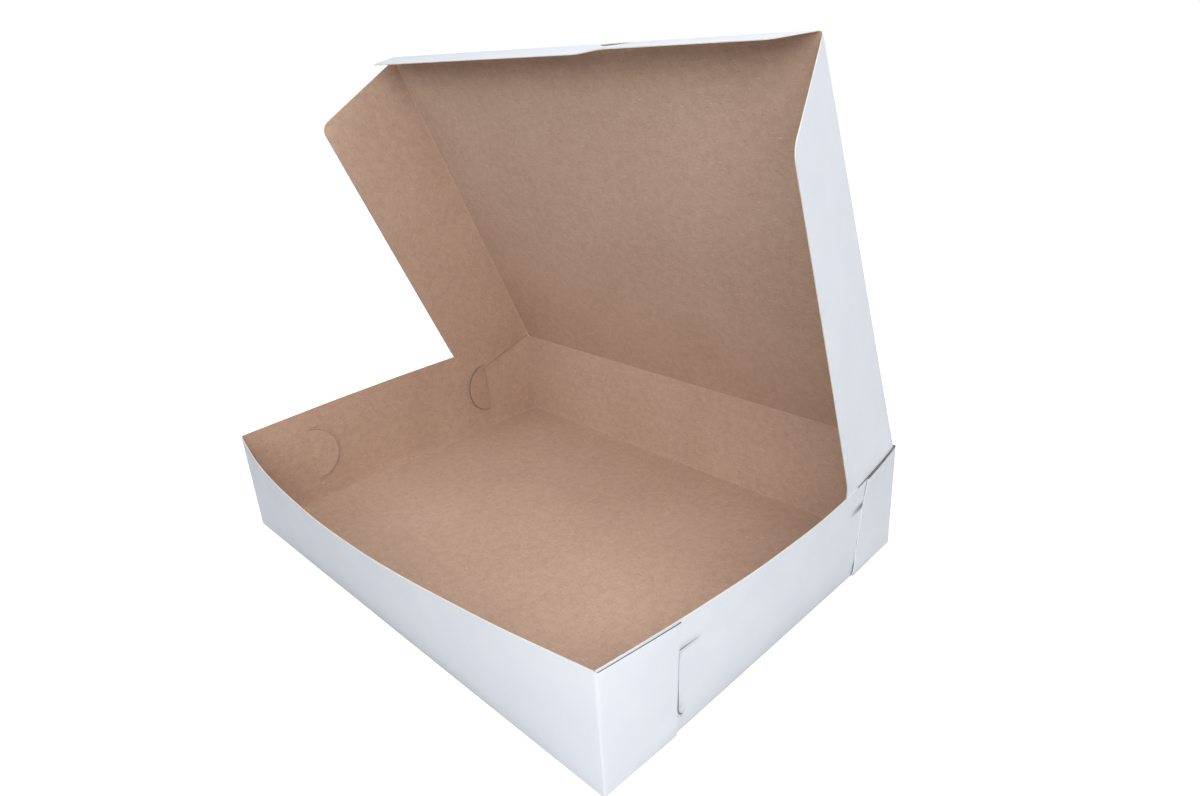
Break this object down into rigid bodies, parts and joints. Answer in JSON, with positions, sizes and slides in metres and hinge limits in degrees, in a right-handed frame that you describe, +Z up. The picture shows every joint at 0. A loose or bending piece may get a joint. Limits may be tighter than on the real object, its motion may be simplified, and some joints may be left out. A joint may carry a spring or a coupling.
{
  "type": "bakery box",
  "caption": "Shallow folded paperboard cake box with locked corners and a hinged lid, standing open, white outside and bare kraft inside.",
  "frame": {"origin": "middle of the floor's underside, which rests on the table", "axes": "+X to the right along the front wall, +Y from the front wall to the hinge, +Z up"},
  "size_m": [0.5274, 0.3797, 0.4248],
  "materials": {
    "board": "matt clay-coated white outside, bare kraft fibre inside, one sheet"
  },
  "bodies": {
    "tray": {"tray": "board"},
    "lid": {"lid": "board"},
    "left_flap": {"left_flap": "board"},
    "right_flap": {"right_flap": "board"},
    "front_flap": {"front_flap": "board"}
  },
  "joints": [
    {"name": "lid_hinge", "type": "hinge", "parent": "tray", "child": "lid", "pos_m": [0, 0.1775, 0.097], "axis": [-1, 0, 0], "range_deg": [-67.8, 112.2]},
    {"name": "left_flap_fold", "type": "hinge", "parent": "lid", "child": "left_flap", "pos_m": [-0.23885, 0.1775, 0.097], "axis": [0, 0.3778, -0.9259], "range_deg": [-19.8, 32.7]},
    {"name": "right_flap_fold", "type": "hinge", "parent": "lid", "child": "right_flap", "pos_m": [0.23885, 0.1775, 0.097], "axis": [0, -0.3778, 0.9259], "range_deg": [-19.8, 32.7]},
    {"name": "front_flap_fold", "type": "hinge", "parent": "lid", "child": "front_flap", "pos_m": [0, 0.04386, 0.42448], "axis": [-1, 0, 0], "range_deg": [-19.8, 32.7]}
  ],
  "couplings": [
    {"joint": "left_flap_fold", "follows": "lid_hinge", "ratio": 0.29},
    {"joint": "right_flap_fold", "follows": "lid_hinge", "ratio": 0.29},
    {"joint": "front_flap_fold", "follows": "lid_hinge", "ratio": 0.29}
  ]
}
